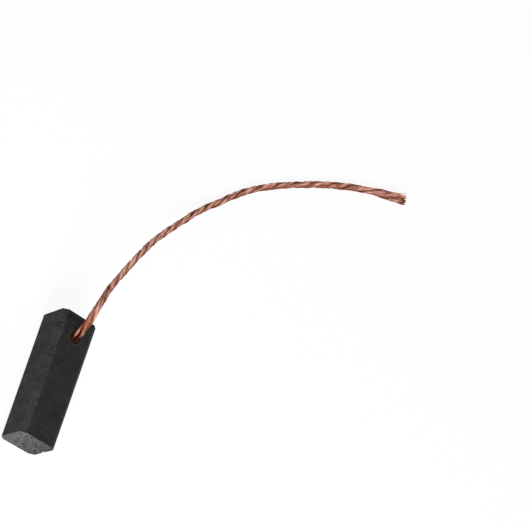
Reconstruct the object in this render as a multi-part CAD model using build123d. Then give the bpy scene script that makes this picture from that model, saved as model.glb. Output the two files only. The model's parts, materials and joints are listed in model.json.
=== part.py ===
from build123d import *

import os
from math import pi, radians, sqrt, tan

# Carbon brush with a bare copper lead, lying on the side opposite its lead hole
# Millimetres, X along the block from contact end to lead end, Z up out of the hole
# The origin is under the middle of the block, on the surface that it lies on

# Block
body_length = 20.0  # from the middle of the contact end to the lead end
body_width = 6.0
body_height = 6.0
edge_chamfer = 0.7  # on the four long edges
lean_to_top = 4.0  # degrees by which the contact end stands forward at its upper edge
lean_to_side = 2.8  # degrees by which it stands forward at its +Y edge

# Nick in the contact end's -Y edge
nick_radius = 0.7
nick_depth = 0.2
nick_height = 2.8

# Drilled hole for the lead
hole_diameter = 1.7
hole_depth = 3.0  # of its round wall
hole_setback = 3.35  # from the lead end to the hole's axis
drill_angle = 118.0  # degrees of the cone at its bottom
mouth_bevel = 0.1

# Copper powder tamped round the lead
powder_recess = 0.25  # of its rim under the block's top
powder_dish = 0.15  # of its middle under its rim

# Lead
lead_diameter = 0.95
lead_grip = 2.3  # length of lead under the block's top

# Height of the lead's middle line over the hole's mouth, where it lies on the surface
laid = lead_diameter / 2 - body_height

# Corners of the lead's route, from the middle of the hole's mouth
lead_route = [
    (0, 0, -lead_grip),
    (0, 0, 0.3),
    (1.3, 0.4, 2.6),
    (4.2, 0.4, 4.0),
    (7.6, -0.5, 3.6),
    (11.6, -2.5, 2.2),
    (16.7, -5.2, 0.2),
    (22.0, -8.4, -2.0),
    (27.2, -12.2, -3.9),
    (32.0, -15.8, -5.1),
    (36.6, -20.0, laid),
    (40.4, -24.2, laid),
    (43.7, -29.4, laid),
    (46.7, -34.9, laid),
    (49.0, -40.6, laid),
    (50.6, -45.9, laid),
]
bend_share = 0.45  # of the shorter run at a corner that its bend takes up

# How far the foremost corner of the contact end stands before its middle
rise_to_top = tan(radians(lean_to_top))
rise_to_side = tan(radians(lean_to_side))
half_width = body_width / 2
half_height = body_height / 2
proud = max(
    rise_to_top * half_height + rise_to_side * (half_width - edge_chamfer),
    rise_to_top * (half_height - edge_chamfer) + rise_to_side * half_width,
)

# Places along the block
lead_end_x = (body_length + proud) / 2
contact_x = lead_end_x - body_length
hole_x = lead_end_x - hole_setback

# The hole
hole_radius = hole_diameter / 2
hole_floor = body_height - hole_depth
hole_tip = hole_floor - hole_radius / tan(radians(drill_angle / 2))


def turned_about_hole(*outline):
    """A solid turned about the hole's axis from an outline of (radius, height) corners."""
    face = Plane.XZ * make_face(Polyline(*outline, close=True))
    return Pos(hole_x, 0, 0) * revolve(face, Axis.Z)


def make_drilling():
    """The space of the blind hole: the drill's cone, the round wall and the bevelled mouth."""
    return turned_about_hole(
        (0, hole_tip),
        (hole_radius, hole_floor),
        (hole_radius, body_height - mouth_bevel),
        (hole_radius + 2 * mouth_bevel, body_height + mouth_bevel),
        (0, body_height + mouth_bevel),
    )


def make_nick():
    """A ball that bites into the edge between the contact end and the -Y side."""
    edge_x = contact_x - rise_to_top * (nick_height - half_height) + rise_to_side * half_width
    stand_off = (nick_radius - nick_depth) / sqrt(2)
    return Pos(edge_x - stand_off, -half_width - stand_off, nick_height) * Sphere(nick_radius)


def make_block():
    """A square bar with chamfered long edges, cut at the leaning contact end, then drilled."""
    section = chamfer(Rectangle(body_width, body_height).vertices(), edge_chamfer)
    bar_start = Plane.YZ.offset(contact_x - 2 * proud) * Pos(0, half_height)
    bar = extrude(bar_start * section, amount=body_length + 2 * proud)
    outward = Vector(-1, -rise_to_side, -rise_to_top)
    contact_end = Plane(origin=(contact_x, 0, half_height), z_dir=outward)
    bar = split(bar, bisect_by=contact_end, keep=Keep.BOTTOM)
    return bar - make_nick() - make_drilling()


def bend_radii(corners):
    """The radius of the bend at each corner, as large as the two runs beside it allow."""
    radii = []
    for before, here, after in zip(corners, corners[1:], corners[2:]):
        arriving = here - before
        leaving = after - here
        half_turn = radians(arriving.get_angle(leaving)) / 2
        shorter = min(arriving.length, leaving.length)
        radii.append(bend_share * shorter / tan(half_turn))
    return radii


def make_lead():
    """A plain round cord along straight runs that are joined by tangent bends."""
    mouth = Vector(hole_x, 0, body_height)
    corners = [mouth + Vector(*corner) for corner in lead_route]
    radii = bend_radii(corners)
    path = FilletPolyline(*corners, radius=radii)
    end = Plane(origin=path @ 0, z_dir=path % 0)
    lead = sweep(end * Circle(lead_diameter / 2), path=path)
    print("bend radii", [round(radius, 1) for radius in radii])
    print("lead length", round(path.length, 2))
    print("lead volume over section times length", lead.volume / (path.length * pi * lead_diameter**2 / 4))
    return lead


def make_powder(lead):
    """The tamped powder: it fills the hole up to a dished top, all round the lead."""
    rim = body_height - powder_recess
    filling = turned_about_hole(
        (0, hole_tip),
        (hole_radius, hole_floor),
        (hole_radius, rim),
        (0, rim - powder_dish),
    )
    return filling - lead


block = make_block()
lead = make_lead()
powder = make_powder(lead)

os.makedirs("parts", exist_ok=True)
export_step(block, "parts/carbon_block.step")
export_step(lead, "parts/lead.step")
export_step(powder, "parts/tamping_plug.step")
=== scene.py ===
import json
from math import cos, pi, radians, sin, sqrt, tan

import bpy
import numpy as np
from bpy.props import FloatProperty, FloatVectorProperty, IntProperty, PointerProperty
from mathutils import Matrix, Vector


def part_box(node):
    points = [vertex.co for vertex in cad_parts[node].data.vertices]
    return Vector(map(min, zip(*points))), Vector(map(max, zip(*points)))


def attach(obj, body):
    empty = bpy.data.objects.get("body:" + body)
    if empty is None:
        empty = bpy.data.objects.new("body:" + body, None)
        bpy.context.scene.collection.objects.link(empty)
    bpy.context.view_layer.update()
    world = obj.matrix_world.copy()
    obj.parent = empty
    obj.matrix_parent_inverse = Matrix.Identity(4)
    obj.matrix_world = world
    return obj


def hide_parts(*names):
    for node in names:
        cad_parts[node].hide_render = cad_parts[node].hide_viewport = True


bl_info = {
    "name": "Carbon Brush",
    "version": (1, 0, 0),
    "blender": (4, 5, 0),
    "location": "3D View > Sidebar > Carbon Brush",
    "description": "Dresses a carbon brush with ground carbon, copper powder and a lead of twisted wires",
    "category": "Object",
}

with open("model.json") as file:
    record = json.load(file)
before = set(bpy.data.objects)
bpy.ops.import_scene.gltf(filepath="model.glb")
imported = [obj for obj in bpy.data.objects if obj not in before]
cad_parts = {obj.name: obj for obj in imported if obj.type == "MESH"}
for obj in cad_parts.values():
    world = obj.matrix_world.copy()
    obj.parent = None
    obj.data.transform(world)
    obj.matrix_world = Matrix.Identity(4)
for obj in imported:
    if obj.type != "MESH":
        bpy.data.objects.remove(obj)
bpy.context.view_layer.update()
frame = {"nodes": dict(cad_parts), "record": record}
record_colours = {entry["slot"]: entry["base_color"] for entry in frame["record"]["materials"]}

mm = 0.001

# The block's sizes, in millimetres
edge_chamfer = 0.7
rise_to_top = tan(radians(4.0))
rise_to_side = tan(radians(2.8))
hole_radius = 0.85
block_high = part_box("carbon_block")[1] / mm
half_width = block_high.y
half_height = block_high.z / 2
block_length = 20.0
hole_to_end = 3.35
contact_x = block_high.x - block_length
hole_x = block_high.x - hole_to_end

# Points of the lead's route from the middle of the hole's mouth, in metres
lead_mouth = Vector((hole_x * mm, 0, 0.006))
lead_radius = 0.000475
laid = lead_radius - 0.006
lead_route = [
    (0, 0, -0.0023),
    (0, 0, 0.0003),
    (0.0013, 0.0003, 0.0026),
    (0.0042, 0.00027, 0.004),
    (0.0076, -0.0006, 0.0036),
    (0.0116, -0.00257, 0.0022),
    (0.0167, -0.0052, 0.0002),
    (0.022, -0.0084, -0.002),
    (0.0272, -0.0122, -0.0039),
    (0.032, -0.0158, -0.0051),
    (0.0366, -0.02, laid),
    (0.0404, -0.0242, laid),
    (0.0437, -0.0294, laid),
    (0.04675, -0.0349, laid),
    (0.0491, -0.04057, laid),
    (0.05076, -0.04601, laid),
]
# A level direction that the lead never runs along
aside_of_lead = Vector((0.6, 0.8, 0))
# The way from the lead's middle line to a strand's middle, as a share of the way to the outermost wires
strand_share = 0.57
# Half the length of a small kink, and for each one its distance along the lead and how far it stands out,
# all in metres
kink_reach = 0.0013
kinks = [
    (0.0185, -0.00003),
    (0.0264, 0.00004),
    (0.0389, 0.00006),
    (0.0446, -0.00013),
    (0.0502, 0.00005),
    (0.0547, -0.00005),
    (0.0635, 0.00003),
]
# Places of painted highlight and painted shade on the lead: the distance along it and half the place's
# length in metres, and how much brighter it is painted there on the side that aside_of_lead points to and
# on the other
lit_and_shaded_places = [
    (0.0035, 0.0006, 0.4, 0.75),
    (0.0048, 0.0010, 0.0, -1.3),
    (0.0056, 0.0014, -1.2, 0.0),
    (0.0072, 0.0010, 0.5, 1.0),
    (0.0092, 0.0006, -0.45, 0.15),
    (0.0108, 0.0020, -0.15, -0.65),
    (0.0175, 0.0035, 0.75, -0.35),
    (0.0250, 0.0030, 0.1, -0.45),
    (0.0385, 0.0022, -0.75, 0.2),
    (0.0440, 0.0010, -0.2, 0.5),
    (0.0475, 0.0040, -0.4, -0.1),
    (0.0500, 0.0010, 0.0, 0.4),
    (0.0585, 0.0018, -0.65, 0.0),
    (0.0668, 0.0013, -0.55, -0.35),
    (0.0710, 0.0010, 0.1, 0.7),
    (0.0745, 0.0030, 0.0, 0.35),
]


class CarbonSettings(bpy.types.PropertyGroup):
    """The ground carbon of the block."""

    colour: FloatVectorProperty(
        name="Carbon",
        description="Colour of the ground sides",
        subtype="COLOR",
        size=3,
        min=0,
        max=1,
        default=record_colours["carbon"],
    )
    end_colour: FloatVectorProperty(
        name="Contact end",
        description="Colour of the freshly cut contact end",
        subtype="COLOR",
        size=3,
        min=0,
        max=1,
        default=(0.2, 0.195, 0.19),
    )
    stain_colour: FloatVectorProperty(
        name="Copper stain",
        description="Colour of the copper dust round the hole",
        subtype="COLOR",
        size=3,
        min=0,
        max=1,
        default=(0.12, 0.05, 0.032),
    )
    streak_depth: FloatProperty(
        name="Streak depth",
        description="Depth of the grinding streaks",
        unit="LENGTH",
        subtype="DISTANCE",
        precision=6,
        default=0.00002,
    )


class LeadSettings(bpy.types.PropertyGroup):
    """The twisted lead of fine copper wires."""

    diameter: FloatProperty(
        name="Diameter",
        description="Diameter of the whole lead",
        unit="LENGTH",
        subtype="DISTANCE",
        precision=5,
        default=0.00096,
    )
    wire_diameter: FloatProperty(
        name="Wire diameter",
        description="Diameter of one fine wire",
        unit="LENGTH",
        subtype="DISTANCE",
        precision=6,
        default=0.00008,
    )
    lay: FloatProperty(
        name="Lay",
        description="Length in which a strand goes once round the lead",
        unit="LENGTH",
        subtype="DISTANCE",
        precision=5,
        default=0.0103,
    )
    rings: IntProperty(
        name="Wire rings",
        description="Rings of wires round a strand's middle wire",
        min=1,
        max=4,
        default=3,
    )
    splay_length: FloatProperty(
        name="Splay length",
        description="Length of the loose wires at the cut end",
        unit="LENGTH",
        subtype="DISTANCE",
        precision=5,
        default=0.0068,
    )
    colour: FloatVectorProperty(
        name="Copper",
        description="Colour of the bright wires",
        subtype="COLOR",
        size=3,
        min=0,
        max=1,
        default=record_colours["copper_wire"],
    )
    # The colour of dull wires, and of the painted shade that the wires' tone carries
    dull_and_shaded_colour: FloatVectorProperty(
        name="Dull copper",
        description="Colour of the wires that have gone dull",
        subtype="COLOR",
        size=3,
        min=0,
        max=1,
        default=(0.3, 0.11, 0.065),
    )
    # The colour of the painted shade deep between the wires
    groove_shade_colour: FloatVectorProperty(
        name="Grooves",
        description="Colour deep between the wires",
        subtype="COLOR",
        size=3,
        min=0,
        max=1,
        default=(0.165, 0.03, 0.011),
    )


class PowderSettings(bpy.types.PropertyGroup):
    """The copper powder tamped round the lead."""

    colour: FloatVectorProperty(
        name="Powder",
        description="Colour of the tamped powder",
        subtype="COLOR",
        size=3,
        min=0,
        max=1,
        default=record_colours["copper_powder"],
    )
    grains: IntProperty(
        name="Grains",
        description="How many grains stand out of the powder's top",
        min=1,
        max=2000,
        default=420,
    )


class StageSettings(bpy.types.PropertyGroup):
    """The floor, the light and the camera."""

    floor_width: FloatProperty(
        name="Floor width",
        description="Width of the square floor",
        unit="LENGTH",
        subtype="DISTANCE",
        default=0.8,
    )
    daylight: FloatProperty(
        name="Surrounding light",
        description="Strength of the light from all round",
        default=0.35,
    )
    lamp_level: FloatProperty(
        name="Lamp level",
        description="How light a white surface is made by the main lamp alone",
        default=0.75,
    )
    azimuth: FloatProperty(
        name="Azimuth",
        description="Direction from which the camera looks, round the object",
        unit="ROTATION",
        subtype="ANGLE",
        default=radians(225.29),
    )
    elevation: FloatProperty(
        name="Elevation",
        description="Height from which the camera looks, above the horizon",
        unit="ROTATION",
        subtype="ANGLE",
        default=radians(51.68),
    )
    roll: FloatProperty(
        name="Roll",
        description="How far the camera is turned about its own line of sight",
        unit="ROTATION",
        subtype="ANGLE",
        default=radians(70.69),
    )
    distance: FloatProperty(
        name="Distance",
        description="Distance from the camera to the point that it looks at",
        unit="LENGTH",
        subtype="DISTANCE",
        default=3.12246,
    )


class Value:
    """An output of a material's node, on which plain arithmetic adds Math nodes."""

    def __init__(self, finish, socket):
        self.finish = finish
        self.socket = socket

    def __add__(self, other):
        return self.finish.math("ADD", self, other)

    def __sub__(self, other):
        return self.finish.math("SUBTRACT", self, other)

    def __rsub__(self, other):
        return self.finish.math("SUBTRACT", other, self)

    def __mul__(self, other):
        return self.finish.math("MULTIPLY", self, other)

    def __truediv__(self, other):
        return self.finish.math("DIVIDE", self, other)

    def __abs__(self):
        return self.finish.math("ABSOLUTE", self)

    __radd__ = __add__
    __rmul__ = __mul__


class Finish:
    """A material or a world, with its node tree."""

    def __init__(self, owner):
        owner.use_nodes = True
        self.owner = owner
        self.tree = owner.node_tree
        self.tree.nodes.clear()

    def node(self, kind, settings, inputs, output=0):
        """One node: its settings go in first, then the values or links of its inputs."""
        node = self.tree.nodes.new(kind)
        for name, setting in settings.items():
            setattr(node, name, setting)
        for place, value in inputs.items():
            if isinstance(value, Value):
                self.tree.links.new(value.socket, node.inputs[place])
            else:
                node.inputs[place].default_value = value
        return Value(self, node.outputs[output]) if node.outputs else None

    def math(self, operation, *values):
        return self.node("ShaderNodeMath", {"operation": operation}, dict(enumerate(values)))

    def place(self):
        """The point on the piece, in millimetres of the row frame."""
        metres = self.node("ShaderNodeTexCoord", {}, {}, "Object")
        return self.node("ShaderNodeVectorMath", {"operation": "SCALE"}, {0: metres, 3: 1 / mm})

    def parts(self, vector):
        """The three numbers of a vector."""
        return [self.node("ShaderNodeSeparateXYZ", {}, {0: vector}, axis) for axis in "XYZ"]

    def vector(self, *numbers):
        return self.node("ShaderNodeCombineXYZ", {}, dict(enumerate(numbers)))

    def mask(self, value, start, end):
        """0 at start and 1 at end, smooth in between and flat beyond."""
        settings = {"interpolation_type": "SMOOTHSTEP"}
        return self.node("ShaderNodeMapRange", settings, {0: value, 1: start, 2: end})

    def noise(self, vector, stretch, detail=2.0, roughness=0.5, distortion=0.0):
        """Cloudy noise about 0.5, with so many clouds in a millimetre along each axis."""
        settings = {"operation": "MULTIPLY"}
        drawn = self.node("ShaderNodeVectorMath", settings, {0: vector, 1: stretch})
        inputs = {"Vector": drawn, "Scale": 1.0, "Detail": detail, "Roughness": roughness}
        return self.node("ShaderNodeTexNoise", {}, {**inputs, "Distortion": distortion})

    def blend(self, factor, first, second, way="MIX"):
        """Two colours put together as far as the factor says."""
        settings = {"data_type": "RGBA", "blend_type": way}
        colours = {place: self.colour(value) for place, value in ((6, first), (7, second))}
        return self.node("ShaderNodeMix", settings, {0: factor, **colours}, 2)

    def colour(self, value):
        return value if isinstance(value, Value) else (*value, 1.0)

    def shade(self, colour, lightness):
        """A colour made darker or lighter by a number."""
        return self.node("ShaderNodeVectorMath", {"operation": "SCALE"}, {0: colour, 3: lightness})

    def bump(self, height, depth):
        """The surface's direction with a relief of this height, which is worth depth metres at 1."""
        return self.node("ShaderNodeBump", {}, {"Height": height, "Distance": depth}, "Normal")

    def cover(self, surface):
        """Puts the surface on the material or the world, which is handed back."""
        is_world = isinstance(self.owner, bpy.types.World)
        kind = "ShaderNodeOutputWorld" if is_world else "ShaderNodeOutputMaterial"
        self.node(kind, {}, {"Surface": surface})
        return self.owner


def carbon_finish(settings):
    """Pressed carbon ground across its length, a paler contact end, copper dust and painted shade at the
    hole.
    """
    finish = Finish(bpy.data.materials.new("ground_carbon"))
    place = finish.place()
    x, y, z = finish.parts(place)
    rise = z - half_height

    # How far a point is from each plane of the block
    from_contact = (x - contact_x) + rise * rise_to_top + y * rise_to_side
    from_chamfer = (half_width + half_height - edge_chamfer - abs(y) - abs(rise)) / sqrt(2)
    from_flat = finish.math("MINIMUM", half_width - abs(y), half_height - abs(rise))
    from_edge = finish.math("MAXIMUM", from_chamfer, from_flat)

    # A point takes on a side's look from begin to full, in millimetres inside that side's plane, and the
    # contact end's look from twice as far in
    begin, full = 0.03, 0.01
    on_contact = finish.mask(from_contact, 2 * begin, full)
    on_top = finish.mask(rise, half_height - begin, half_height - full)
    on_bottom = finish.mask(rise, begin - half_height, full - half_height)
    on_right = finish.mask(y, begin - half_width, full - half_width)
    on_chamfer = finish.mask(from_chamfer, begin, full)
    on_far_chamfer = on_chamfer * finish.mask(y, 0.0, -1.0)

    # Grinding streaks run across the block and bow a little
    bowed = finish.vector(x + rise * rise * 0.03 + y * y * 0.02, y, z)
    fine_streaks = finish.noise(bowed, (5.0, 0.4, 0.4), 2.0, 0.7)
    broad_streaks = finish.noise(bowed, (1.3, 0.15, 0.15), 2.0, 0.6, 0.3)
    grain = finish.noise(place, (5.0, 5.0, 5.0), 3.0, 0.7)
    clouds = finish.noise(place, (0.6, 0.6, 0.6), 2.0, 0.6)
    streaks = fine_streaks * 0.6 + broad_streaks * 0.4 - 0.5

    # Each side came out of grinding with its own lightness
    tone = 0.71 - on_top * 0.22 + on_right * 0.44 + on_bottom * 0.39 + on_chamfer * 0.29
    tone = tone - on_far_chamfer * 0.72
    contrast = 4.2 - on_top * 2.4 - on_chamfer * 2.4 + on_bottom * 2.0 - on_right * 1.4
    tone = tone * (1 + streaks * contrast + (grain - 0.5) * (3.5 - on_top * 1.5) + (clouds - 0.5) * 1.5)

    # The edges are rubbed pale in spots
    wear_and_painted_light = finish.mask(from_edge, 0.14, 0.02) * finish.mask(grain, 0.48, 0.62)
    tone = finish.math("MAXIMUM", tone, 0.12) + wear_and_painted_light * 0.35

    # The contact end is mottled, and a little paler towards +Y
    mottle = finish.noise(place, (1.6, 1.6, 1.6), 5.0, 0.75)
    end_tone = 0.46 + (mottle - 0.5) * 2.2 + (grain - 0.5) * 3.4 + y * 0.06
    side_colour = finish.shade(settings.colour, tone)
    end_colour = finish.shade(settings.end_colour, end_tone)
    colour = finish.blend(on_contact, side_colour, end_colour)

    # Copper dust lies round the hole in a ragged ring, and the hole's edge and wall are darker still: dust
    # and painted shade
    edge_width, ring_width = 0.08, 0.4
    from_hole = finish.math("SQRT", (x - hole_x) * (x - hole_x) + y * y)
    ragged = from_hole + (clouds - 0.5) * 0.9 + (grain - 0.5) * 0.5
    ring = finish.mask(ragged, hole_radius + ring_width, hole_radius)
    in_hole = finish.mask(from_hole, hole_radius + edge_width, hole_radius)
    colour = finish.blend(ring * on_top * 0.6, colour, settings.stain_colour)
    colour = finish.blend(in_hole, colour, finish.shade(settings.stain_colour, 0.25))

    inputs = {
        "Base Color": colour,
        "Roughness": 0.62 + on_contact * 0.15 + streaks * 0.25,
        "Normal": finish.bump(streaks + (grain - 0.5) * 0.4 + on_contact * mottle, settings.streak_depth),
        "Specular IOR Level": 0.1,
    }
    return finish.cover(finish.node("ShaderNodeBsdfPrincipled", {}, inputs))


def copper_finish(settings):
    """Fine copper wires: each has its own tone, with painted highlights and painted light and shade in it,
    and painted shade in the grooves.
    """
    finish = Finish(bpy.data.materials.new("copper_wires"))
    place = finish.place()
    tone = finish.node("ShaderNodeAttribute", {"attribute_name": "tone"}, {}, "Fac")
    painted_shade = finish.node("ShaderNodeAttribute", {"attribute_name": "painted_shade"}, {}, "Fac")
    tarnish = finish.noise(place, (0.7, 0.7, 0.7), 3.0, 0.6)
    drawn = finish.noise(place, (3.5, 3.5, 3.5), 2.0, 0.6)
    bright = finish.mask(tone * 1.2 + tarnish * 1.1 + drawn * 0.3, 0.8, 1.8)
    colour = finish.blend(bright, settings.dull_and_shaded_colour, settings.colour)
    hue = finish.mask(finish.noise(place, (0.6, 0.6, 0.6), 2.0, 0.5), 0.36, 0.64)
    tint = finish.blend(hue, (0.95, 0.88, 0.97), (0.95, 1.0, 0.92))
    colour = finish.blend(1.0, finish.shade(colour, 1.5), tint, "MULTIPLY")
    # The painted shade blends the wires towards the colour of the groove shade
    colour = finish.blend(painted_shade, colour, settings.groove_shade_colour)
    inputs = {
        "Base Color": colour,
        "Metallic": 0.45 + painted_shade * 0.5,
        "Roughness": 0.45 - bright * 0.12 + painted_shade * 0.15,
        "Normal": finish.bump(drawn, 0.000004),
    }
    return finish.cover(finish.node("ShaderNodeBsdfPrincipled", {}, inputs))


def powder_finish(settings):
    """Tamped copper powder: dull red-brown grains with a few bright ones, darkened partly by painted shade
    of the hole.
    """
    finish = Finish(bpy.data.materials.new("copper_powder"))
    place = finish.place()
    grain = finish.noise(place, (14.0, 14.0, 14.0), 3.0, 0.65)
    clouds = finish.noise(place, (2.0, 2.0, 2.0), 2.0, 0.5)
    bright = finish.mask(grain, 0.56, 0.72)
    # The powder's colour is darkened in clouds far below its own colour: partly painted shade of the hole
    colour = finish.shade(settings.colour, 0.06 + clouds * 0.22)
    colour = finish.blend(bright * 0.4, colour, (0.4, 0.13, 0.07))
    inputs = {
        "Base Color": colour,
        "Metallic": 0.2 + bright * 0.6,
        "Roughness": 0.7 - bright * 0.25,
        "Normal": finish.bump(grain, 0.00003),
        "Specular IOR Level": 0.15,
    }
    return finish.cover(finish.node("ShaderNodeBsdfPrincipled", {}, inputs))


def seen_rays(finish):
    """1 where a ray comes from the eye, from gloss or through glass, and 0 where it lights something."""
    names = ("Is Camera Ray", "Is Glossy Ray", "Is Transmission Ray")
    camera, glossy, transmission = [finish.node("ShaderNodeLightPath", {}, {}, name) for name in names]
    return finish.math("MINIMUM", camera + glossy + transmission, 1.0)


def paper_finish():
    """Pale paper that looks white, with the object's soft shadow on it."""
    finish = Finish(bpy.data.materials.new("pale_paper"))
    paper = finish.node("ShaderNodeBsdfDiffuse", {}, {"Color": (0.9, 0.9, 0.9, 1)})
    shadowed = finish.node("ShaderNodeBsdfDiffuse", {}, {"Color": (0.12, 0.12, 0.12, 1)})
    white = finish.node("ShaderNodeEmission", {}, {"Color": (1, 1, 1, 1), "Strength": 0.91})
    seen = finish.node("ShaderNodeAddShader", {}, {0: shadowed, 1: white})
    return finish.cover(finish.node("ShaderNodeMixShader", {}, {0: seen_rays(finish), 1: paper, 2: seen}))


def sky_finish(settings):
    """Surroundings that look white and light the object evenly from all round."""
    finish = Finish(bpy.data.worlds.new("surroundings"))
    light = finish.node("ShaderNodeBackground", {}, {"Color": (1, 1, 1, 1), "Strength": settings.daylight})
    white = finish.node("ShaderNodeBackground", {}, {"Color": (1, 1, 1, 1), "Strength": 1.0})
    return finish.cover(finish.node("ShaderNodeMixShader", {}, {0: seen_rays(finish), 1: light, 2: white}))


def tubes(centres, across, upward, radius, sides):
    """Round tubes as one mesh: each ring is its centre plus radius times (cos a across + sin a upward).

    centres holds one row of points for each tube, and each end is closed by a flat cap.
    Returns the points, shaped by tube, ring and side, and the faces.
    """
    count, rings = centres.shape[:2]
    angles = np.arange(sides) * 2 * pi / sides
    spokes = across[:, :, None] * np.cos(angles)[:, None] + upward[:, :, None] * np.sin(angles)[:, None]
    points = centres[:, :, None] + radius * spokes
    index = np.arange(count * rings * sides).reshape(count, rings, sides)
    onward = np.roll(index, -1, axis=2)
    quads = np.stack([index[:, :-1], onward[:, :-1], onward[:, 1:], index[:, 1:]], axis=-1).reshape(-1, 4)
    starts = index[:, 0, ::-1]
    ends = index[:, -1]
    return points, quads.tolist() + starts.tolist() + ends.tolist()


def new_piece(name, points, faces, material):
    """A finished piece from points in metres, which rides on the object."""
    mesh = bpy.data.meshes.new(name)
    mesh.from_pydata(points.reshape(-1, 3), [], faces)
    mesh.polygons.foreach_set("use_smooth", np.ones(len(mesh.polygons), dtype=bool))
    mesh.materials.append(material)
    piece = bpy.data.objects.new(name, mesh)
    bpy.context.scene.collection.objects.link(piece)
    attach(piece, "root")
    return piece


def paint_points(piece, name, numbers):
    """One number for each point of a piece, which its material reads by name."""
    attribute = piece.data.attributes.new(name, "FLOAT", "POINT")
    attribute.data.foreach_set("value", np.ascontiguousarray(numbers, dtype=np.float32).ravel())


def read_middle_line():
    """The lead's middle line in metres: a smooth spline on the route's points, evenly spaced."""
    curve = bpy.data.curves.new("lead_line", "CURVE")
    curve.dimensions = "3D"
    spline = curve.splines.new("NURBS")
    spline.points.add(len(lead_route) - 1)
    for point, corner in zip(spline.points, lead_route):
        point.co = (*(lead_mouth + Vector(corner)), 1)
    spline.order_u = 3
    spline.use_endpoint_u = True
    spline.resolution_u = 32
    holder = bpy.data.objects.new("lead_line", curve)
    mesh = bpy.data.meshes.new_from_object(holder)
    points = np.empty(len(mesh.vertices) * 3)
    mesh.vertices.foreach_get("co", points)
    bpy.data.objects.remove(holder)
    bpy.data.curves.remove(curve)
    bpy.data.meshes.remove(mesh)
    return points.reshape(-1, 3)


def smooth_step(values):
    """0 below 0 and 1 above 1, as 3 t squared minus 2 t cubed in between."""
    share = np.clip(values, 0, 1)
    return share * share * (3 - 2 * share)


def ramp(values, start, end):
    """A smooth step that is 0 at start and 1 at end."""
    return smooth_step((values - start) / (end - start))


def bell(values, middle, reach):
    """A bell curve, e to the power -((values - middle) / reach) squared: 1 at the middle."""
    return np.exp(-(((values - middle) / reach) ** 2))


def ripple(along, length, lag=0.0):
    """A cosine with one wave in each length."""
    return np.cos(2 * pi * along / length + lag)


def sway(along):
    """How far the lead stands aside of its smooth line, in metres: two steps, and a bell at each kink."""
    shift = 0.00002 * ramp(along, 0.022, 0.026) + 0.00003 * ramp(along, 0.0445, 0.0475)
    for place, size in kinks:
        shift = shift + size * bell(along, place, kink_reach)
    return shift


class MiddleLine:
    """The lead's middle line and two directions across it, read at any distances along it.

    aside is the part of aside_of_lead that is square to the line, and upward is the line's direction
    crossed with aside, so that where the lead lies on the floor upward points straight up.
    """

    def __init__(self, points):
        steps = np.linalg.norm(np.diff(points, axis=0), axis=1)
        self.points = points
        self.reached = np.concatenate([[0], np.cumsum(steps)])
        self.length = self.reached[-1]
        onward = np.gradient(points, self.reached, axis=0)
        onward /= np.linalg.norm(onward, axis=1, keepdims=True)
        aside = np.array(aside_of_lead) - (onward @ np.array(aside_of_lead))[:, None] * onward
        self.aside = aside / np.linalg.norm(aside, axis=1, keepdims=True)
        self.upward = np.cross(onward, self.aside)

    def read(self, rows, along):
        """The rows of points or directions at these distances."""
        return np.stack([np.interp(along, self.reached, rows[:, axis]) for axis in range(3)], axis=-1)


def wander(random, count, along, lengths):
    """Smooth random waves between -1 and 1, a row for each wire: the mean of ripples of these lengths."""
    waves = 0
    for length in lengths:
        waves = waves + ripple(along, length, random.uniform(0, 2 * pi, (count, 1)))
    return waves / len(lengths)


def painted_highlight_patches(random, start_angle, along):
    """Painted highlights: long patches in which neighbouring wires shine alike, the mean of waves along and
    round a strand.
    """
    waves_and_turns = [(0.0021, 1), (0.0029, -3), (0.0037, 2), (0.0059, 3)]
    waves = 0
    for length, turns in waves_and_turns:
        waves = waves + ripple(along, length, turns * start_angle + random.uniform(0, 2 * pi))
    return waves / len(waves_and_turns)


def strand_reach(angle, middle, rim):
    """How far a strand's edge is from its own middle, at an angle that is 0 straight out of the lead.

    The section is a third of the lead's round section with soft corners. The way to the rim is
    r = sqrt(rim squared - (middle sin a) squared) - middle cos a, and the way to each of the two flat
    sides is s = middle sin 60 / cos(a - 150) or the same at -150. The reach is the sum of these to the
    power -softness, to the power -1 / softness.
    """
    softness = 1.6
    to_rim = np.sqrt(rim**2 - (middle * np.sin(angle)) ** 2) - middle * np.cos(angle)
    total = to_rim**-softness
    for side in (radians(150), radians(-150)):
        total = total + (np.maximum(np.cos(angle - side), 0) / (middle * sin(radians(60)))) ** softness
    return total ** (-1 / softness)


def wire_places(rings):
    """The wires of a strand in a unit disc, as distances and angles: one in the middle, then 6, 12, 18."""
    distances = [np.zeros(1)] + [np.full(6 * ring, ring / rings) for ring in range(1, rings + 1)]
    angles = [np.zeros(1)] + [
        (np.arange(6 * ring) + 0.5 * ring) * pi / (3 * ring) for ring in range(1, rings + 1)
    ]
    return np.concatenate(distances)[:, None], np.concatenate(angles)[:, None]


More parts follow.
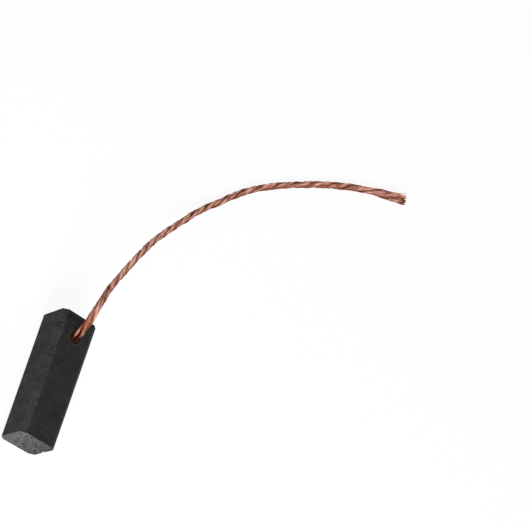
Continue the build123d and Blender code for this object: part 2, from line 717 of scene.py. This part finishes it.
class Strand:
    """One strand of fine wires, as arrays with a row for each wire and a column for each place along it.

    A wire stands at the strand's middle plus its own place in the strand's section, and the strand's
    middle winds to the left round the lead's middle line. The strands loosen where they leave the hole,
    and at the cut end the twist stops and the wires come apart sideways. Lengths are in metres.
    """

    def __init__(self, number, line, settings):
        self.random = np.random.default_rng(11 + number)
        self.distance, self.start_angle = wire_places(settings.rings)
        self.count = len(self.distance)
        self.wire_radius = settings.wire_diameter / 2
        self.rim = settings.diameter / 2 - self.wire_radius
        self.find_girth(line, settings)
        self.lay_wires(number, line, settings)
        self.find_painted_light()

    def find_girth(self, line, settings):
        """Where the lead is loose, and how thick it is there beside a tight one."""
        # Each wire is cut at its own length
        ring_spacing = 0.00025
        cut_short = self.random.uniform(0, 0.0001, (self.count, 1))
        self.along = np.linspace(0, 1, int(line.length / ring_spacing)) * (line.length - cut_short)
        self.to_end = line.length - self.along

        # Over the bend, at the root and at the cut end: each is 1 at its own place and goes down to 0
        self.loose = bell(self.along, 0.0052, 0.0045)
        self.near_root = ramp(self.along, 0.0060, 0.0034)
        self.opening = ramp(self.to_end, settings.splay_length, 0)
        self.middle_part = (1 - self.near_root) * (1 - self.opening)

        # Small knobs and lumps stand out of a girth that grows in two steps towards the cut
        slack = 0.025 * ramp(self.along, 0.042, 0.046) + 0.09 * ramp(self.along, 0.057, 0.067)
        knobs = 0.03 * ripple(self.along, 0.0034, 1.0) + 0.025 * ripple(self.along, 0.0019)
        shifting = 3 * ripple(self.along, 0.011)
        lumps = 0.03 * ripple(self.along, 0.0062, 0.5) + 0.045 * ripple(self.along, 0.00125, shifting)
        self.girth = 0.945 + 0.22 * self.loose + slack + knobs + lumps * self.middle_part

    def lay_wires(self, number, line, settings):
        """The middle line of each wire, and where it is in the lead."""
        random, count, along, rim, girth = self.random, self.count, self.along, self.rim, self.girth
        loose, near_root, opening = self.loose, self.near_root, self.opening

        # Where the strand's middle is round the lead's middle line: its twist eases off towards the cut
        turned = along - 0.4 * settings.splay_length * opening**2
        uneven = 0.15 * ripple(along, 0.027, 1.0) + 0.08 * ripple(along, 0.0083, 2.0) + 0.5 * near_root
        angle = radians(20) + 2 * pi * number / 3 - 2 * pi * turned / settings.lay + uneven
        middle = strand_share * rim * girth * (1 + 0.04 * loose + 0.08 * near_root)

        # Where each wire is in the strand, which has a slow twist of its own
        own_lay = 0.03
        own_angle = self.start_angle + 2 * pi * along / own_lay
        own_angle = own_angle + 0.3 * wander(random, count, along, (0.009, 0.017))
        fullness = 1 - 0.03 * loose - 0.22 * near_root + 0.52 * opening
        reach = strand_reach(own_angle, strand_share * rim, rim) * girth * fullness
        off_middle = self.distance * reach * (1 + 0.05 * wander(random, count, along, (0.0031, 0.0053)))
        stray_outward = 0.07 * rim * wander(random, count, along, (0.0023, 0.0041))
        stray_sideways = 0.06 * rim * wander(random, count, along, (0.0027, 0.0047))
        outward = off_middle * np.cos(own_angle) + stray_outward
        sideways = off_middle * np.sin(own_angle) + stray_sideways

        # At the cut end the strands part, and some wires stray aside and up
        apart = 0.8 * opening - 0.12 * ramp(self.to_end, 0.25 * settings.splay_length, 0)
        stray = 0.00006 * random.normal(0, 1, (count, 1))
        lift = 0.00006 * np.abs(random.normal(0, 1, (count, 1)))
        own_aside = outward * np.cos(angle) - sideways * np.sin(angle)
        own_upward = outward * np.sin(angle) + sideways * np.cos(angle)
        tuft = 0.0003 * (own_aside[:, -1:] > 0.25 * rim) * random.uniform(0, 1, (count, 1)) ** 3
        self.aside = middle * np.cos(angle) * (1 + apart) + own_aside
        self.aside = self.aside + (stray + tuft) * opening**2 - 0.00005 * opening
        self.upward = middle * np.sin(angle) + own_upward + lift * opening**2

        self.aside_way = line.read(line.aside, along)
        self.upward_way = line.read(line.upward, along)
        off_line = (self.aside + sway(along))[..., None] * self.aside_way
        self.centres = line.read(line.points, along) + off_line + self.upward[..., None] * self.upward_way
        self.centres[..., 2] = np.maximum(self.centres[..., 2], self.wire_radius)

        # How deep in the lead a point is, and how far from the strand's outermost wires
        self.depth = 1 - np.hypot(middle + outward, sideways) / (rim * girth)
        self.from_ridge = 1 - self.distance * np.cos(own_angle)

    def find_painted_light(self):
        """How much brighter the painted highlights of the listed places make each point, and how much
        darker their painted shade.
        """
        on_first_side = smooth_step(0.5 + 0.8 * self.aside / self.rim)
        self.wear_and_painted_light = 0
        for place, reach, first_change, other_change in lit_and_shaded_places:
            change = other_change + (first_change - other_change) * on_first_side
            self.wear_and_painted_light = self.wear_and_painted_light + change * bell(self.along, place, reach)

    def tones(self):
        """How bright each wire is: painted highlights in patches, painted light on the top and one side,
        and painted shade on the other side.
        """
        aside, upward = self.aside / self.rim, self.upward / self.rim
        # Painted light on the top and painted shade on the side away from aside_of_lead
        painted_side_light = (0.2 * smooth_step(upward) - 0.47 * smooth_step(-aside)) * (1 - self.opening)
        highlight_patches = 0.9 * painted_highlight_patches(self.random, self.start_angle, self.along)
        own_tone = self.random.uniform(-0.12, 0.12, (self.count, 1))
        # The side that aside_of_lead points to is painted lighter, and the listed places add their painted
        # light and shade
        return 0.46 + painted_side_light + 0.3 * smooth_step(aside) + 0.7 * self.wear_and_painted_light + highlight_patches + own_tone

    def shadings(self):
        """Painted shade on each point: in the grooves, on seams, along the sides, at the root and at the
        cut.
        """
        aside, rim_share = self.aside / self.rim, self.aside / (self.rim * self.girth)
        patchy = wander(self.random, 1, self.along, (0.0047, 0.0083))

        # Painted shade between tight strands: the grooves begin off the strand's ridge, and sooner where it
        # is shaded
        shaded = smooth_step(0.15 + 0.9 * aside) * (1 - self.near_root)
        off_ridge = self.from_ridge - 0.58 + 0.45 * shaded * (0.75 + 0.7 * patchy)
        tight = (1 - self.opening) * (1 - self.loose)
        # Where the lead is painted bright, less painted shade is left in the grooves
        shade_kept = np.maximum(1 - 0.9 * self.wear_and_painted_light, 0)
        grooves = smooth_step(off_ridge / 0.5) * (0.55 + 0.45 * shaded) * tight * shade_kept

        # Painted shade between loose strands darkens the depth, and thin seams of painted shade part the
        # wires of a strand
        in_depth = 0.6 * np.clip(self.depth / 0.28, 0, 1) * (1 - tight) * (1 - 0.5 * self.opening)
        seams = np.clip(2 * np.cos(3 * self.start_angle) - 1, 0, 1) * (self.distance > 0.5)
        seams = seams * (0.3 + 0.25 * self.opening)

        # Painted shade along both sides of the lead, the second one in patches
        sides = smooth_step((np.abs(rim_share) - 0.75) / 0.25)
        low_marks = smooth_step((-rim_share - 0.5) / 0.3) * smooth_step(off_ridge / 0.4 + 0.5)
        sides = 0.7 * (sides + low_marks * (0.5 - patchy)) * self.middle_part

        # Painted shade darkens the root in the hole, where powder also coats the wires, and the tips at the
        # cut
        gaps = self.near_root * smooth_step(self.depth / 0.3 - 0.2)
        root = ramp(self.along, 0.0031, 0.0023) + 0.08 * ramp(self.along, 0.0070, 0.0050)
        tips = smooth_step(1.3 - self.to_end / 0.0009) * smooth_step(0.35 - aside / 1.5)
        lines = np.clip(grooves + in_depth * np.minimum(shade_kept, 1) + seams + sides, 0, 1)
        return 0.85 * lines + gaps + root + tips


def make_strand(number, line, settings, material):
    """The finished piece of one strand, with the numbers that its material reads."""
    strand = Strand(number, line, settings)
    sides = 6
    points, faces = tubes(strand.centres, strand.aside_way, strand.upward_way, strand.wire_radius, sides)
    piece = new_piece(f"lead_strand_{number}", points, faces, material)
    tone = strand.tones()
    painted_shade = strand.shadings()
    for name, numbers in (("painted_shade", painted_shade), ("tone", tone)):
        paint_points(piece, name, np.repeat(np.clip(numbers, 0, 1)[..., None], sides, axis=2))
    return piece


def make_powder_top(settings, material):
    """The powder's closed body: a disc that dips towards the middle, with grains as small half balls.

    A profile goes from the axis at the bottom out to the wall, up to the rim and back to the axis, and
    turns about the hole's axis. On the top, the height is the dish plus the highest of the half balls
    sqrt(size squared - distance squared).
    """
    random = np.random.default_rng(5)
    # In millimetres over the block's underside
    rim_height, dish, bottom = 5.75, 0.15, 4.9
    turns, rows = 120, 40
    inward = np.linspace(hole_radius, 0, rows)
    radius = np.concatenate([[0, 0.5 * hole_radius, hole_radius], inward])
    height = np.concatenate([[bottom] * 3, rim_height - dish * (1 - inward / hole_radius)])
    around = np.arange(turns) * 2 * pi / turns
    x = radius[:, None] * np.cos(around)
    y = radius[:, None] * np.sin(around)
    z = np.repeat(height[:, None], turns, axis=1)

    grain_at = hole_radius * np.sqrt(random.uniform(0, 1, settings.grains))
    grain_around = random.uniform(0, 2 * pi, settings.grains)
    size = random.uniform(0.03, 0.085, settings.grains)
    # The grains sink to nothing this close to the wall
    flat_rim = 0.05
    off_x = x[3:, :, None] - grain_at * np.cos(grain_around)
    off_y = y[3:, :, None] - grain_at * np.sin(grain_around)
    balls = np.sqrt(np.maximum(size**2 - off_x**2 - off_y**2, 0)).max(axis=2)
    z[3:] += balls * np.minimum((hole_radius - radius[3:, None]) / flat_rim, 1)

    # The two poles are one point each
    rings = np.stack([x + hole_x, y, z], axis=-1) * mm
    inner = rings[1:-1]
    index = np.arange(inner.shape[0] * turns).reshape(-1, turns)
    onward = np.roll(index, -1, axis=1)
    quads = np.stack([index[:-1], onward[:-1], onward[1:], index[1:]], axis=-1).reshape(-1, 4)
    low_pole, high_pole = index.size, index.size + 1
    low_fan = [(low_pole, b, a) for a, b in zip(index[0].tolist(), onward[0].tolist())]
    high_fan = [(high_pole, a, b) for a, b in zip(index[-1].tolist(), onward[-1].tolist())]
    poles = np.stack([rings[0, 0], rings[-1].mean(axis=0)])
    points = np.concatenate([inner.reshape(-1, 3), poles])
    faces = quads.tolist() + low_fan + high_fan
    return new_piece("tamped_powder", points, faces, material)


class CARBON_BRUSH_OT_dress_block(bpy.types.Operator):
    """Gives the carbon block its ground carbon"""

    bl_idname = "carbon_brush.dress_block"
    bl_label = "Dress Carbon Block"

    def execute(self, context):
        block = frame["nodes"]["carbon_block"]
        material = carbon_finish(context.scene.brush_carbon)
        for place in block.material_slots:
            place.material = material
        return {"FINISHED"}


class CARBON_BRUSH_OT_lay_lead(bpy.types.Operator):
    """Makes the lead of three strands of fine copper wires"""

    bl_idname = "carbon_brush.lay_lead"
    bl_label = "Lay Lead"

    def execute(self, context):
        settings = context.scene.brush_lead
        material = copper_finish(settings)
        line = MiddleLine(read_middle_line())
        strands = [make_strand(number, line, settings, material) for number in range(3)]
        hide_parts("lead")
        return {"FINISHED"}


class CARBON_BRUSH_OT_tamp_powder(bpy.types.Operator):
    """Makes the grainy copper powder round the lead"""

    bl_idname = "carbon_brush.tamp_powder"
    bl_label = "Tamp Powder"

    def execute(self, context):
        settings = context.scene.brush_powder
        powder = make_powder_top(settings, powder_finish(settings))
        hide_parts("tamping_plug")
        return {"FINISHED"}


def add_lamp(name, target, direction, distance, width, level):
    """A round soft lamp, as strong as makes a white surface that faces it as light as level."""
    lamp = bpy.data.lights.new(name, "AREA")
    lamp.shape = "DISK"
    lamp.size = width
    lamp.energy = (pi * distance) ** 2 * level
    holder = bpy.data.objects.new(name, lamp)
    bpy.context.scene.collection.objects.link(holder)
    holder.location = target + direction.normalized() * distance
    holder.rotation_euler = direction.to_track_quat("Z", "Y").to_euler()
    holder.visible_camera = False


def add_camera(settings, target):
    """A long lens that looks at the target, turned about its line of sight."""
    azimuth, elevation, roll = settings.azimuth, settings.elevation, settings.roll
    back = Vector((sin(azimuth) * cos(elevation), -cos(azimuth) * cos(elevation), sin(elevation)))
    level = Vector((0, 0, 1)).cross(back).normalized()
    right = cos(roll) * level + sin(roll) * back.cross(level)
    camera = bpy.data.cameras.new("camera")
    camera.lens = 1500
    camera.sensor_width = 36
    holder = bpy.data.objects.new("camera", camera)
    bpy.context.scene.collection.objects.link(holder)
    turn = Matrix((right, back.cross(right), back)).transposed()
    holder.matrix_world = Matrix.Translation(target + back * settings.distance) @ turn.to_4x4()
    bpy.context.scene.camera = holder


class CARBON_BRUSH_OT_set_stage(bpy.types.Operator):
    """Sets up the pale floor, the soft light and the camera"""

    bl_idname = "carbon_brush.set_stage"
    bl_label = "Set Stage"

    def execute(self, context):
        settings = context.scene.brush_stage
        half = settings.floor_width / 2
        just_under_the_block = -0.00001
        corners = [(-half, -half), (half, -half), (half, half), (-half, half)]
        mesh = bpy.data.meshes.new("floor")
        mesh.from_pydata([(x, y, just_under_the_block) for x, y in corners], [], [(0, 1, 2, 3)])
        mesh.materials.append(paper_finish())
        floor = bpy.data.objects.new("floor", mesh)
        context.scene.collection.objects.link(floor)

        context.scene.world = sky_finish(settings)

        target = Vector((0.034884, -0.026645, 0.003))
        to_lamp = Vector((-0.85, 0.12, 0.55))
        add_lamp("main_lamp", target, to_lamp, distance=0.5, width=0.25, level=settings.lamp_level)
        add_camera(settings, target)
        context.scene.view_settings.view_transform = "Standard"
        return {"FINISHED"}


class CARBON_BRUSH_PT_sidebar(bpy.types.Panel):
    """The sidebar's tab for the carbon brush"""

    bl_idname = "CARBON_BRUSH_PT_sidebar"
    bl_label = "Carbon Brush"
    bl_space_type = "VIEW_3D"
    bl_region_type = "UI"
    bl_category = "Carbon Brush"

    def draw(self, context):
        for group, operator in steps:
            box = self.layout.box()
            settings = getattr(context.scene, group)
            for name in settings.__annotations__:
                box.prop(settings, name)
            box.operator(operator.bl_idname)


# The settings and the operator of each step, in order
steps = [
    ("brush_stage", CARBON_BRUSH_OT_set_stage),
    ("brush_lead", CARBON_BRUSH_OT_lay_lead),
    ("brush_carbon", CARBON_BRUSH_OT_dress_block),
    ("brush_powder", CARBON_BRUSH_OT_tamp_powder),
]
groups = {
    "brush_stage": StageSettings,
    "brush_lead": LeadSettings,
    "brush_carbon": CarbonSettings,
    "brush_powder": PowderSettings,
}
classes = [*groups.values(), *(operator for _, operator in steps), CARBON_BRUSH_PT_sidebar]


def register():
    for kind in classes:
        bpy.utils.register_class(kind)
    for name, group in groups.items():
        setattr(bpy.types.Scene, name, PointerProperty(type=group))


def unregister():
    for name in groups:
        delattr(bpy.types.Scene, name)
    for kind in reversed(classes):
        bpy.utils.unregister_class(kind)


def main():
    register()
    bpy.ops.carbon_brush.set_stage()
    bpy.ops.carbon_brush.lay_lead()
    bpy.ops.carbon_brush.dress_block()
    bpy.ops.carbon_brush.tamp_powder()


if __name__ == "__main__":
    main()
